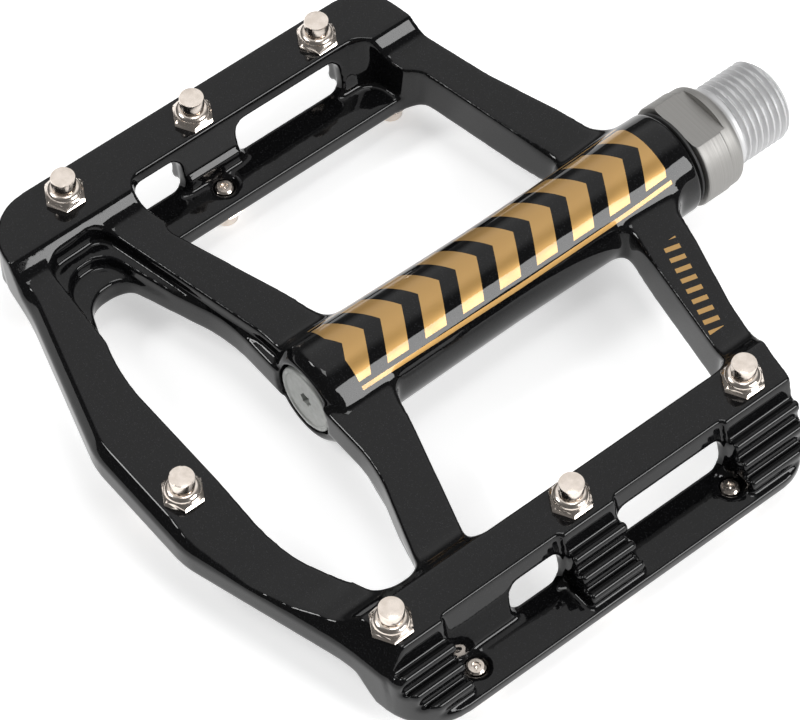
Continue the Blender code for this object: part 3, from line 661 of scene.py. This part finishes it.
def buildSpindle():
    s = spindleShape
    start = collarEnd + 0.1
    spindle = keep("spindleMetal", lathe(spindleProfile(start), 128))
    flat = slab([(start - 0.5, -12), (threadStart - 1.9, -12), (threadStart - 1.9, 12), (start - 0.5, 12)],
                s["flat"], 20)
    combine(spindle, bothFaces(flat), "DIFFERENCE")
    easeEdges(spindle, s["edge"], 35)
    dress(spindle, satinSteel)
    spindle.modifiers.new("even", "WEIGHTED_NORMAL").keep_sharp = True
    bakeModifiers(spindle)
    handOver(spindle, "spindle_body", "satin_steel", "spindle")

    thread = bmesh.new()
    length = threadEnd - threadStart - 0.6
    bmesh.ops.create_cone(thread, cap_ends=True, segments=96, radius1=s["root"], radius2=s["root"],
                          depth=length)
    bmesh.ops.rotate(thread, verts=thread.verts, matrix=Matrix.Rotation(math.pi / 2, 3, "Y"))
    bmesh.ops.translate(thread, verts=thread.verts, vec=(threadEnd - length / 2, 0, 0))
    sides = [e for e in thread.edges if abs(e.verts[0].co.x - e.verts[1].co.x) > 1]
    bmesh.ops.subdivide_edges(thread, edges=sides, cuts=s["rings"], use_grid_fill=False)
    for v in thread.verts:
        reach = math.hypot(v.co.y, v.co.z)
        turn = math.atan2(v.co.z, v.co.y) / (2 * math.pi)
        radius = threadRadius(v.co.x, turn)
        v.co.y *= radius / reach
        v.co.z *= radius / reach
    bmesh.ops.recalc_face_normals(thread, faces=thread.faces)
    stub = keep("threadStub", thread)
    corner = s["socket"] / math.cos(math.pi / 6)
    socket = slab([(corner * math.cos(math.radians(60 * i)), corner * math.sin(math.radians(60 * i)), 0)
                   for i in range(6)], threadEnd - s["socketDepth"], threadEnd + 2, "X")
    combine(stub, socket, "DIFFERENCE")
    dress(stub, satinSteel, 50)
    handOver(stub, "spindle_body", "satin_steel")
    print("spindle finished")


buildSpindle()


# end cap and seal
capShape = {"rim": 5.7, "face": 4.75, "dish": 0.25, "ringSeat": 4.8, "skirt": 4.9, "star": (1.4, 1.0),
            "starDepth": 1.8, "edge": 0.06}


def buildCap():
    s = capShape
    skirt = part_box("end_cap")[1].x / mm
    cap = keep("capMetal", lathe([
        (capFace + s["dish"], 0), (capFace + s["dish"], s["face"]), (capFace, s["face"] + 0.2),
        (capFace, s["rim"] - 0.35), (capFace + 0.15, s["rim"] - 0.1), (capFace + 0.45, s["rim"]),
        (capFace + 1.1, s["rim"]), (capFace + 1.1, s["ringSeat"]), (capFace + 2.2, s["ringSeat"]),
        (capFace + 2.2, s["rim"]), (skirt, s["rim"]), (skirt, s["skirt"]), (capFace + 2.6, s["skirt"]),
        (capFace + 2.6, 0)]))
    star = []
    for i in range(12):
        radius, angle = s["star"][i % 2], math.radians(30 * i)
        star.append((radius * math.cos(angle), radius * math.sin(angle), 0.25))
    combine(cap, slab(star, capFace - 1, capFace + s["starDepth"], "X", 3), "DIFFERENCE")
    easeEdges(cap, s["edge"], 35)
    dress(cap, capMetal)
    handOver(cap, "platform_body", "grey_anodised", "end_cap")
    print("cap finished")


sealShape = {"bore": 6.15, "body": 7.5, "lip": 8.3}


def buildSeal():
    s = sealShape
    low, high = (v.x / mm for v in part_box("lip_seal"))
    seal = keep("sealRubber", lathe([
        (low, s["bore"]), (low, s["body"]), (barrelEnd + 0.3, s["body"]),
        (barrelEnd + 0.3, s["lip"] - 0.2), (barrelEnd + 0.45, s["lip"]), (high - 0.2, s["lip"]),
        (high, s["lip"] - 0.2), (high, s["bore"])]))
    dress(seal, rubber)
    handOver(seal, "platform_body", "black_rubber", "lip_seal")
    print("seal finished")


buildCap()
buildSeal()

finishes = {"satin_steel": satinSteel, "bearing_steel": raceSteel, "brass_cage": brass,
            "black_rubber": rubber, "dark_nylon": nylon, "nickel": nickel,
            "grey_anodised": capMetal, "black_paint": paint}
for entry in frame["record"]["subparts"]:  # the inner pieces keep their own solids
    inner = frame["nodes"][entry["node"]]
    inner.data.materials.clear()
    inner.data.materials.append(finishes[entry["material_slot"]])
print("inner pieces finished")


# floor, light and camera
studio = {"floor": (0.86, 0.86, 0.86, 1), "floorGlow": 0.5, "brightTowards": (0.36, 0.44, 0.82),
          "glow": (0.13, 1.05), "glowStart": 0.7, "glowFull": 0.92,
          "lamps": {"low": ((0.5, -1.1, 0.7), 0.68, 15.5), "side": ((-0.68, 0.62, 1.04), 0.34, 6.0),
                    "high": ((0.1, -0.1, 1.5), 0.4, 3.0)}}  # spot, size, power


def buildStage():
    s = studio
    floorMesh = bmesh.new()
    bmesh.ops.create_grid(floorMesh, x_segments=1, y_segments=1, size=3.0,
                          matrix=Matrix.Translation((0, 0, cadBox[0].z - 0.0002)))
    floor = keep("floor", floorMesh)
    floor.data.materials.append(shader("paleFloor", Base_Color=s["floor"], Roughness=0.9,
                                       Emission_Color=(1, 1, 1, 1), Emission_Strength=s["floorGlow"])[0])

    world = bpy.data.worlds.new("studio")
    world.use_nodes = True
    tree = world.node_tree
    sky = node(tree, "SeparateXYZ")
    tree.links.new(node(tree, "TexCoord").outputs["Generated"], sky.inputs[0])
    parts = [calc(tree, "MULTIPLY", sky.outputs[i], s["brightTowards"][i]) for i in range(3)]
    facing = calc(tree, "ADD", calc(tree, "ADD", parts[0], parts[1]), parts[2])
    background = tree.nodes["Background"]
    background.inputs["Color"].default_value = (1, 1, 1, 1)
    tree.links.new(ramp(tree, facing, s["glowStart"], s["glowFull"], *s["glow"]),
                   background.inputs["Strength"])
    scene.world = world
    scene.view_settings.view_transform = "Standard"

    for name, (spot, size, power) in s["lamps"].items():
        lamp = bpy.data.lights.new(name, "AREA")
        lamp.shape = "SQUARE"
        lamp.size = size
        lamp.energy = power
        holder = bpy.data.objects.new(name, lamp)
        holder.location = spot
        holder.rotation_euler = (-Vector(spot)).to_track_quat("-Z", "Y").to_euler()
        scene.collection.objects.link(holder)
    print("stage ready")


cameraSet = {"spot": (-0.1989, -0.2660, 0.4874), "look": (0.3619, 0.4423, -0.8206), "roll": 0.3,
             "lens": 174.5, "film": 36}


def buildCamera():
    lens = bpy.data.cameras.new("camera")
    lens.lens = cameraSet["lens"]
    lens.sensor_width = cameraSet["film"]
    lens.clip_start = 0.01
    eye = bpy.data.objects.new("camera", lens)
    eye.location = Vector(cameraSet["spot"]) + Vector((capFace * mm, 0, 0))
    turn = Vector(cameraSet["look"]).to_track_quat("-Z", "Y").to_matrix()
    eye.rotation_euler = (turn @ Matrix.Rotation(math.radians(cameraSet["roll"]), 3, "Z")).to_euler()
    scene.collection.objects.link(eye)
    scene.camera = eye


buildStage()
buildCamera()
